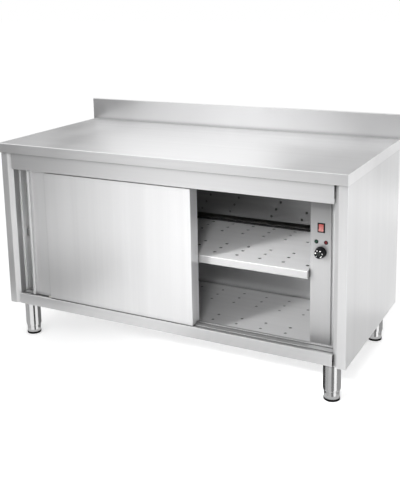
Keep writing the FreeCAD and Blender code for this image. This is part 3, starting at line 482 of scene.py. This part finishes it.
def moulded(name, colour, shade, roughness, size, grain=0.0002, specular=0.5, worn=0.03):
    """Moulded plastic or rubber: a fine moulding grain, faint flow clouds and paler worn edges. Size is the
    number of clouds to the metre, grain the depth of the grain, and worn how much paler the edges are."""
    material, nodes, links, shader = fresh_material(name)
    clouds = grouped(nodes, clouding, Size=size)
    edges = grouped(nodes, edge_rubbing, Gain=1.5)
    cloud_share = ranged(nodes, links, clouds.outputs["Clouds"], 0, 1, 0.3, 0.7)
    mottled = mixed_colour(nodes, links, cloud_share, colour, shade)
    edge_colour = tuple(min(1.0, channel * 1.4 + worn) for channel in colour)
    edge_share = ranged(nodes, links, edges.outputs["Edge"], 0, 0.6)
    links.new(mixed_colour(nodes, links, edge_share, mottled, edge_colour), shader.inputs["Base Color"])
    shader.inputs["Specular IOR Level"].default_value = specular
    rough = ranged(nodes, links, clouds.outputs["Specks"], roughness - 0.08, roughness + 0.08)
    links.new(rough, shader.inputs["Roughness"])
    bumped(nodes, links, clouds.outputs["Specks"], shader, strength=0.25, distance=grain)
    return material


nylon = moulded("nylon", (0.72, 0.7, 0.64), (0.6, 0.58, 0.52), roughness=0.42, size=40)
rollers = [side + "_door_roller_" + letter for side in ("left", "right") for letter in "ab"]
dress(nylon, "left_door_guides", "right_door_guides", *rollers)


# The room's walls are a duller sheet brushed lengthways, painted dark as the shade inside the room, but
# its liner stands upright. Its shelf and floor are perforated, and the shelf lies on two folded angles.
# Where little light gets in, high on the lower back wall, below the shelf's face and in its holes, the
# steel is painted darker as shade.
room_steel = brushed_steel("room_steel", light=0.36, dark=0.3, grain="x", roughness=0.36,
                           metallic=0.6, rubbed_and_highlit=0.5)
dress(room_steel, "upper_duct_panel", "ceiling_panel", "compartment_wall", "compartment_divider")
lower_room_steel = brushed_steel("lower_room_steel", light=0.74, dark=0.66, grain="x", roughness=0.33,
                                 metallic=0.6, rubbed_and_highlit=0.7, painted_shade_band=(0.24, 0.31, 0.02))
dress(lower_room_steel, "lower_back_wall")
liner_steel = brushed_steel("liner_steel", light=0.9, dark=0.84, grain="z", roughness=0.4, metallic=0.3)
dress(liner_steel, "left_liner")
shelf_steel = brushed_steel("shelf_steel", light=0.94, dark=0.88, grain="x", roughness=0.34,
                            metallic=0.35, rubbed_and_highlit=0.86, painted_shade_band=(0.458, 0.457, 0.46), edge_shade_from=-0.24)
dress(shelf_steel, "shelf", "shelf_supports")
deck_steel = brushed_steel("deck_steel", light=0.8, dark=0.74, grain="x", roughness=0.33,
                           metallic=0.4, rubbed_and_highlit=0.7)
dress(deck_steel, "bottom_deck")


def mineral_wool(name):
    """Matted stone fibre slab, painted dark grey as the shade it sits in behind the air slot."""
    material, nodes, links, shader = fresh_material(name)
    fibres = grouped(nodes, brushing, Fine_stretch=(60, 340, 520), Broad_stretch=(18, 30, 46))
    fine_share = ranged(nodes, links, fibres.outputs["Fine"], 0, 1, 0.3, 0.7)
    colour = mixed_colour(nodes, links, fine_share, (0.2, 0.199, 0.194), (0.12, 0.119, 0.116))
    broad_share = ranged(nodes, links, fibres.outputs["Broad"], 0, 0.5, 0.35, 0.7)
    colour = mixed_colour(nodes, links, broad_share, colour, (0.27, 0.268, 0.262))
    links.new(colour, shader.inputs["Base Color"])
    links.new(ranged(nodes, links, fibres.outputs["Fine"], 0.88, 1.0), shader.inputs["Roughness"])
    bumped(nodes, links, fibres.outputs["Fine"], shader, strength=0.9, distance=0.0015)
    return material


dress(mineral_wool("mineral_wool"), "insulation", "left_door_core", "right_door_core")


# The control column carries the switch, the signal lamps and the knob, and is shaded darker towards its
# top. It and the narrow jamb beside it are folded from upright brushed sheet.
control_steel = brushed_steel("control_steel", light=0.78, dark=0.72, grain="z", roughness=0.33,
                              metallic=0.82, painted_shade_band=(0.48, 0.77, 0.18))
dress(control_steel, "control_fascia")
jamb_steel = brushed_steel("jamb_steel", light=0.76, dark=0.7, grain="z", roughness=0.36, metallic=0.6)
dress(jamb_steel, "right_jamb")


# The switch is a black moulded housing snapped in the column. Its red rocker glows a little and is
# paler towards the bottom.
black_plastic = moulded("black_plastic", (0.004, 0.004, 0.005), (0.008, 0.008, 0.009), roughness=0.42,
                        size=60, specular=0.1, worn=0.006)
dress(black_plastic, "switch_bezel")
red_rocker, nodes, links, shader = fresh_material("red_rocker")
rocker_low, rocker_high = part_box("switch_rocker")
glow_share = ranged(nodes, links, along(nodes, links, "Z"), 1, 0, rocker_low.z, rocker_high.z)
colour = mixed_colour(nodes, links, glow_share, (0.26, 0.045, 0.04), (0.33, 0.15, 0.14))
links.new(colour, shader.inputs["Base Color"])
links.new(colour, shader.inputs["Emission Color"])
shader.inputs["Emission Strength"].default_value = 0.1
clouds = grouped(nodes, clouding, Size=60.0)
links.new(ranged(nodes, links, clouds.outputs["Specks"], 0.29, 0.38), shader.inputs["Roughness"])
shader.inputs["Coat Weight"].default_value = 0.4
bumped(nodes, links, clouds.outputs["Specks"], shader, strength=0.1, distance=0.0001)
dress(red_rocker, "switch_rocker")


# The signal lamps, green at the left and red at the right, are small domed lenses. Each is pushed into
# a black ring that stands on the column.
def lamp_lens(name, deep, lit):
    """Coloured lens, mottled between two shades, with a faint inner pattern."""
    material, nodes, links, shader = fresh_material(name)
    clouds = grouped(nodes, clouding, Size=180.0)
    lit_share = ranged(nodes, links, clouds.outputs["Clouds"], 0, 1, 0.35, 0.65)
    links.new(mixed_colour(nodes, links, lit_share, deep, lit), shader.inputs["Base Color"])
    links.new(ranged(nodes, links, clouds.outputs["Specks"], 0.08, 0.16), shader.inputs["Roughness"])
    shader.inputs["Coat Weight"].default_value = 0.35
    shader.inputs["Coat Roughness"].default_value = 0.03
    bumped(nodes, links, clouds.outputs["Clouds"], shader, strength=0.15, distance=0.0002)
    return material


dress(lamp_lens("green_lens", (0.001, 0.012, 0.006), (0.003, 0.03, 0.016)), "green_lamp")
dress(lamp_lens("red_lens", (0.06, 0.001, 0.003), (0.12, 0.002, 0.006)), "red_lamp")


def edit_mesh(piece):
    """Make a piece the only selected one and go into edit mode."""
    bpy.ops.object.select_all(action="DESELECT")
    piece.select_set(True)
    bpy.context.view_layer.objects.active = piece
    bpy.ops.object.mode_set(mode="EDIT")


def settle(piece, name, material, body):
    """Name a finished piece, put its place into its mesh, smooth it and let it ride on its body."""
    bpy.ops.object.mode_set(mode="OBJECT")
    bpy.ops.object.select_all(action="DESELECT")
    piece.select_set(True)
    bpy.context.view_layer.objects.active = piece
    bpy.ops.object.transform_apply(location=True, rotation=True, scale=True)
    bpy.ops.object.shade_smooth_by_angle(angle=math.radians(35))
    piece.name = name
    piece.data.name = name
    piece.data.materials.clear()
    piece.data.materials.append(material)
    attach(piece, body)


ring_bar = 0.0011
for lamp in ("green_lamp", "red_lamp"):
    lamp_low, lamp_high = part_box(lamp)
    lamp_radius = (lamp_high.x - lamp_low.x) / 2
    column_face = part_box("control_fascia")[0].y
    centre = Vector(((lamp_low.x + lamp_high.x) / 2, column_face, (lamp_low.z + lamp_high.z) / 2))
    bpy.ops.object.select_all(action="DESELECT")
    bpy.ops.mesh.primitive_torus_add(major_radius=lamp_radius + ring_bar / 2, minor_radius=ring_bar,
                                     major_segments=48, minor_segments=12, location=centre,
                                     rotation=(math.radians(90), 0, 0))
    ring = bpy.context.object
    edit_mesh(ring)
    bpy.ops.mesh.select_all(action="SELECT")
    bpy.ops.mesh.bisect(plane_co=centre, plane_no=(0, -1, 0), use_fill=True, clear_inner=True)
    bpy.ops.mesh.select_all(action="SELECT")
    bpy.ops.mesh.normals_make_consistent(inside=False)
    settle(ring, lamp + "_ring", black_plastic, "cabinet")


# The thermostat sits behind the column and its shaft comes out through it. The fluted black knob on the
# shaft carries the printed scale and a grey cap.
dress(black_plastic, "thermostat", "thermostat_knob")
dress(hanger_steel, "thermostat_shaft")
knob_low, knob_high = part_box("thermostat_knob")
knob_centre = Vector(((knob_low.x + knob_high.x) / 2, knob_low.y, (knob_low.z + knob_high.z) / 2))
cap_radius = 0.0075
cap_reach = 0.0011
cap_rim = 0.0014
cap_step = 0.0006
cap_dish = 0.0004
grey_plastic = moulded("grey_plastic", (0.02, 0.023, 0.021), (0.013, 0.015, 0.014), roughness=0.4,
                       size=90, specular=0.2)
bpy.ops.object.select_all(action="DESELECT")
bpy.ops.mesh.primitive_cylinder_add(vertices=48, radius=cap_radius, depth=cap_reach, end_fill_type="NGON",
                                    location=knob_centre - Vector((0, cap_reach / 2, 0)),
                                    rotation=(math.radians(90), 0, 0))
cap = bpy.context.object
edit_mesh(cap)
bpy.ops.mesh.select_mode(type="FACE")
bpy.ops.mesh.select_all(action="DESELECT")
bpy.ops.object.mode_set(mode="OBJECT")
for face in cap.data.polygons:
    face.select = (cap.matrix_world.to_3x3() @ face.normal).y < -0.9
bpy.ops.object.mode_set(mode="EDIT")
bpy.ops.mesh.inset(thickness=cap_rim, depth=0)
bpy.ops.mesh.inset(thickness=cap_step, depth=-cap_dish)
bpy.ops.mesh.select_all(action="SELECT")
bpy.ops.mesh.normals_make_consistent(inside=False)
settle(cap, "knob_cap", grey_plastic, "thermostat_knob")

print_white = moulded("scale_print", (0.9, 0.9, 0.88), (0.84, 0.84, 0.82), roughness=0.5, size=200,
                      grain=0.00005)
scale_radius = 0.0124
figure_height = 0.0052
figure_weight = 0.00016
print_thickness = 0.00012
weld_distance = 0.00001
scale_sweep = 270
figures = ("0", "30", "45", "60", "75", "90")
for number, figure in enumerate(figures):
    turn = math.radians(-scale_sweep / 2 + scale_sweep * number / (len(figures) - 1))
    bpy.ops.object.select_all(action="DESELECT")
    bpy.ops.object.text_add()
    text = bpy.context.object
    text.data.body = figure
    text.data.size = figure_height
    text.data.align_x = "CENTER"
    text.data.align_y = "CENTER"
    text.data.extrude = print_thickness / 2
    text.data.offset = figure_weight
    bpy.ops.object.convert(target="MESH")
    text = bpy.context.object
    upright = Matrix.Rotation(math.radians(90), 4, "X")
    spin = Matrix.Rotation(-turn, 4, "Z")
    outward = Matrix.Translation((0, scale_radius, 0))
    lifted = Matrix.Translation(knob_centre - Vector((0, print_thickness, 0)))
    text.matrix_world = lifted @ upright @ spin @ outward
    edit_mesh(text)
    bpy.ops.mesh.select_all(action="SELECT")
    bpy.ops.mesh.remove_doubles(threshold=weld_distance)
    bpy.ops.mesh.normals_make_consistent(inside=False)
    settle(text, "scale_figure_" + figure, print_white, "thermostat_knob")


# The hot air unit stands behind the column: a fan with a metal frame and a black wheel, and a tubular
# heater whose ends pass the divider to the terminal block.
def cast_metal(name, light, dark, roughness):
    """Die-cast metal with a dull skin and bright rubbed edges."""
    material, nodes, links, shader = fresh_material(name)
    clouds = grouped(nodes, clouding, Size=24.0)
    edges = grouped(nodes, edge_rubbing)
    cloud_share = ranged(nodes, links, clouds.outputs["Clouds"], 0, 1, 0.3, 0.7)
    colour = mixed_colour(nodes, links, cloud_share, grey(light), grey(dark))
    speck_share = ranged(nodes, links, clouds.outputs["Specks"], 0, 0.4, 0.5, 0.7)
    colour = mixed_colour(nodes, links, speck_share, colour, grey(dark * 0.7))
    colour = mixed_colour(nodes, links, edges.outputs["Edge"], colour, grey(min(1, light * 1.5)))
    links.new(colour, shader.inputs["Base Color"])
    shader.inputs["Metallic"].default_value = 0.8
    links.new(ranged(nodes, links, clouds.outputs["Specks"], roughness - 0.08, roughness + 0.1),
              shader.inputs["Roughness"])
    bumped(nodes, links, clouds.outputs["Specks"], shader, strength=0.4, distance=0.0003)
    return material


dress(cast_metal("fan_metal", light=0.46, dark=0.36, roughness=0.5), "fan_frame")
dress(black_plastic, "fan_impeller")
dress(cast_metal("heater_steel", light=0.36, dark=0.22, roughness=0.42), "heating_element")
cream_plastic = moulded("terminal_plastic", (0.72, 0.68, 0.56), (0.62, 0.58, 0.46), roughness=0.4, size=50)
dress(cream_plastic, "terminal_block")
dress(black_plastic, "cable_gland")


# Each leg is a polished tube under the body with a screwed foot in it, on a black moulded glide. The
# glide's thin lip stands up round the foot.
leg_steel = brushed_steel("leg_steel", light=0.74, dark=0.64, grain="z", roughness=0.14, metallic=0.96)
corners = ("front_left", "front_right", "rear_left", "rear_right")
dress(leg_steel, "legs", *[corner + "_foot" for corner in corners])
black_rubber = moulded("black_rubber", (0.003, 0.003, 0.003), (0.006, 0.006, 0.006), roughness=0.75,
                       size=70, grain=0.0004, specular=0.05, worn=0.003)
dress(black_rubber, *[corner + "_glide" for corner in corners])
lip_height = 0.0034
lip_inset = 0.0008
lip_wall = 0.0011
lip_rounding = 0.0003
for corner in corners:
    glide_low, glide_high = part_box(corner + "_glide")
    glide_radius = (glide_high.x - glide_low.x) / 2
    centre = Vector(((glide_low.x + glide_high.x) / 2, (glide_low.y + glide_high.y) / 2,
                     glide_high.z + lip_height / 2))
    bpy.ops.object.select_all(action="DESELECT")
    bpy.ops.mesh.primitive_cylinder_add(vertices=64, radius=glide_radius - lip_inset, depth=lip_height,
                                        end_fill_type="NOTHING", location=centre)
    lip = bpy.context.object
    thicken = lip.modifiers.new("thicken", "SOLIDIFY")
    thicken.thickness = lip_wall
    thicken.offset = 1
    bpy.ops.object.modifier_apply(modifier="thicken")
    soften = lip.modifiers.new("soften", "BEVEL")
    soften.width = lip_rounding
    soften.segments = 2
    soften.limit_method = "ANGLE"
    bpy.ops.object.modifier_apply(modifier="soften")
    edit_mesh(lip)
    bpy.ops.mesh.select_all(action="SELECT")
    bpy.ops.mesh.normals_make_consistent(inside=False)
    settle(lip, corner + "_glide_lip", black_rubber, corner + "_foot")
